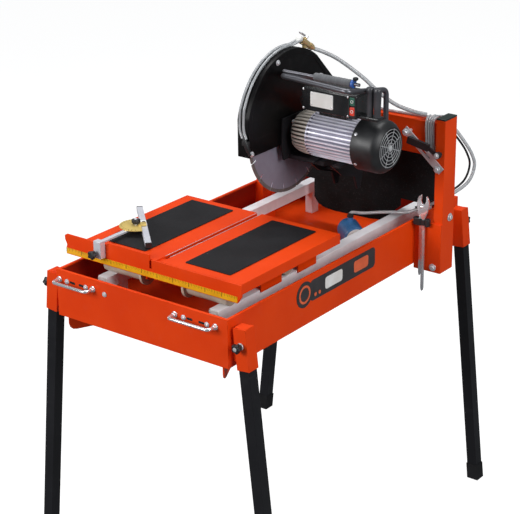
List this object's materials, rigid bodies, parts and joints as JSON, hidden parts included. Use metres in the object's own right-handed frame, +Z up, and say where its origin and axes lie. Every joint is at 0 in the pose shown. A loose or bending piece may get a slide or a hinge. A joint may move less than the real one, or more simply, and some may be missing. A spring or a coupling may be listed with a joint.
{
  "type": "masonry saw",
  "caption": "Wet masonry saw: a water tray on clamped legs, a rolling cart with a miter gauge, and a tilting motor head with a guarded diamond blade, fed by a pump.",
  "frame": {"origin": "on the floor, below the middle of the overall box", "axes": "+X to the operator's right, +Y to the rear, where the head is carried, +Z up"},
  "size_m": [0.7996, 1.0752, 1.3375],
  "materials": {
    "orange_paint": "gloss powder coat",
    "zinc": "galvanised",
    "chrome": "polished",
    "black_paint": "satin powder coat",
    "black_plastic": "moulded, fine texture",
    "rubber": "matt",
    "aluminium": "cast and extruded",
    "blade_steel": "ground disc",
    "brass": "machined",
    "gold_plate": "passivated plate",
    "clear_hose": "clear PVC tube",
    "foam": "closed-cell foam",
    "yellow_tape": "printed scale, no lettering",
    "blue_plastic": "moulded",
    "green_plastic": "moulded",
    "red_plastic": "moulded"
  },
  "bodies": {
    "frame": {"tray": "orange_paint", "rail_left": "zinc", "rail_right": "zinc", "grab_bar_left": "chrome", "grab_bar_right": "chrome", "socket_front_left": "orange_paint", "socket_front_right": "orange_paint", "socket_rear_left": "orange_paint", "socket_rear_right": "orange_paint", "column_left": "orange_paint", "column_right": "orange_paint", "crossbeam": "orange_paint", "curtain": "rubber", "pump": "blue_plastic", "hose_coil": "clear_hose", "hose_supply": "clear_hose", "water_hose": "clear_hose", "tool_holder": "black_plastic", "depth_strip": "zinc"},
    "cart": {"table": "orange_paint", "front_plate": "orange_paint", "ruler": "yellow_tape", "pad_left": "rubber", "pad_right": "rubber"},
    "front_roller": {"roller_front": "zinc"},
    "rear_roller": {"roller_rear": "zinc"},
    "miter_gauge": {"miter_clamp": "aluminium"},
    "miter_clamp_knob": {"miter_knob": "black_plastic"},
    "miter_swing": {"miter_protractor": "gold_plate", "miter_fence": "aluminium"},
    "miter_lock_knob": {"miter_pivot_knob": "black_plastic"},
    "head": {"head_arm": "black_paint", "guard": "black_paint", "motor": "aluminium", "fan_cover": "black_plastic", "switch_box": "black_plastic", "handle": "black_paint", "grip": "foam", "water_valve": "brass"},
    "spindle": {"arbor": "zinc", "blade": "blade_steel", "fan": "black_plastic"},
    "start_button": {"button_start": "green_plastic"},
    "stop_button": {"button_stop": "red_plastic"},
    "water_lever": {"valve_lever": "chrome"},
    "depth_lock": {"depth_lever": "black_plastic"},
    "large_wrench": {"wrench_large": "chrome"},
    "small_wrench": {"wrench_small": "chrome"},
    "leg_front_left": {"leg_front_left": "black_paint", "foot_front_left": "rubber"},
    "clamp_front_left": {"clamp_knob_front_left": "black_plastic"},
    "leg_front_right": {"leg_front_right": "black_paint", "foot_front_right": "rubber"},
    "clamp_front_right": {"clamp_knob_front_right": "black_plastic"},
    "leg_rear_left": {"leg_rear_left": "black_paint", "foot_rear_left": "rubber"},
    "clamp_rear_left": {"clamp_knob_rear_left": "black_plastic"},
    "leg_rear_right": {"leg_rear_right": "black_paint", "foot_rear_right": "rubber"},
    "clamp_rear_right": {"clamp_knob_rear_right": "black_plastic"}
  },
  "joints": [
    {"name": "leg_slide_front_left", "type": "slide", "parent": "frame", "child": "leg_front_left", "axis": [-0.1054, 0, -0.9944], "range_m": [0, 0.1]},
    {"name": "leg_slide_front_right", "type": "slide", "parent": "frame", "child": "leg_front_right", "axis": [0.1054, 0, -0.9944], "range_m": [0, 0.1]},
    {"name": "leg_slide_rear_left", "type": "slide", "parent": "frame", "child": "leg_rear_left", "axis": [-0.1054, 0, -0.9944], "range_m": [0, 0.1]},
    {"name": "leg_slide_rear_right", "type": "slide", "parent": "frame", "child": "leg_rear_right", "axis": [0.1054, 0, -0.9944], "range_m": [0, 0.1]},
    {"name": "clamp_turn_front_left", "type": "hinge", "parent": "frame", "child": "clamp_front_left", "pos_m": [-0.31915, -0.47765, 0.77393], "axis": [-0.9944, 0, 0.1054], "range_deg": [0, 360]},
    {"name": "clamp_turn_front_right", "type": "hinge", "parent": "frame", "child": "clamp_front_right", "pos_m": [0.30095, -0.49595, 0.772], "axis": [0, -1, 0], "range_deg": [0, 360]},
    {"name": "clamp_turn_rear_left", "type": "hinge", "parent": "frame", "child": "clamp_rear_left", "pos_m": [-0.30095, 0.51565, 0.772], "axis": [0, 1, 0], "range_deg": [0, 360]},
    {"name": "clamp_turn_rear_right", "type": "hinge", "parent": "frame", "child": "clamp_rear_right", "pos_m": [0.30095, 0.51565, 0.772], "axis": [0, 1, 0], "range_deg": [0, 360]},
    {"name": "cart_slide", "type": "slide", "parent": "frame", "child": "cart", "axis": [0, 1, 0], "range_m": [-0.03, 0.285]},
    {"name": "front_roller_spin", "type": "hinge", "parent": "cart", "child": "front_roller", "pos_m": [0, -0.38965, 0.8318], "axis": [1, 0, 0], "range_deg": [-762, 82]},
    {"name": "rear_roller_spin", "type": "hinge", "parent": "cart", "child": "rear_roller", "pos_m": [0, -0.15465, 0.8318], "axis": [1, 0, 0], "range_deg": [-762, 82]},
    {"name": "miter_slide", "type": "slide", "parent": "cart", "child": "miter_gauge", "axis": [1, 0, 0], "range_m": [-0.05, 0.14]},
    {"name": "miter_clamp_turn", "type": "hinge", "parent": "miter_gauge", "child": "miter_clamp_knob", "pos_m": [-0.1895, -0.44795, 0.875], "axis": [0, -1, 0], "range_deg": [0, 360]},
    {"name": "miter_turn", "type": "hinge", "parent": "miter_gauge", "child": "miter_swing", "pos_m": [-0.1785, -0.30565, 0.908], "axis": [0, 0, 1], "range_deg": [-25, 45]},
    {"name": "miter_lock_turn", "type": "hinge", "parent": "miter_gauge", "child": "miter_lock_knob", "pos_m": [-0.1785, -0.30565, 0.9136], "axis": [0, 0, 1], "range_deg": [0, 360]},
    {"name": "head_tilt", "type": "hinge", "parent": "frame", "child": "head", "pos_m": [0.1035, 0.30635, 1.049], "axis": [1, 0, 0], "range_deg": [-20, 12], "deforming": ["water_hose"]},
    {"name": "blade_spin", "type": "hinge", "parent": "head", "child": "spindle", "pos_m": [-0.0035, 0.11535, 1.093], "axis": [1, 0, 0], "continuous": true},
    {"name": "start_press", "type": "slide", "parent": "head", "child": "start_button", "axis": [0, 1, 0], "range_m": [0, 0.003], "stiffness_N_per_m": 400},
    {"name": "stop_press", "type": "slide", "parent": "head", "child": "stop_button", "axis": [0, 1, 0], "range_m": [0, 0.003], "stiffness_N_per_m": 400},
    {"name": "water_lever_turn", "type": "hinge", "parent": "head", "child": "water_lever", "pos_m": [-0.0035, 0.19104, 1.31714], "axis": [0, 0.5151, 0.8571], "range_deg": [0, 90]},
    {"name": "depth_lock_turn", "type": "hinge", "parent": "frame", "child": "depth_lock", "pos_m": [0.3415, 0.31105, 1.03], "axis": [0, 1, 0], "range_deg": [0, 60]},
    {"name": "large_wrench_lift", "type": "slide", "parent": "frame", "child": "large_wrench", "axis": [0, 0, 1], "range_m": [0, 0.1]},
    {"name": "small_wrench_lift", "type": "slide", "parent": "frame", "child": "small_wrench", "axis": [0, 0, 1], "range_m": [0, 0.1]}
  ],
  "couplings": [
    {"joint": "front_roller_spin", "follows": "cart_slide", "rad_per_m": -46.512},
    {"joint": "rear_roller_spin", "follows": "cart_slide", "rad_per_m": -46.512}
  ]
}
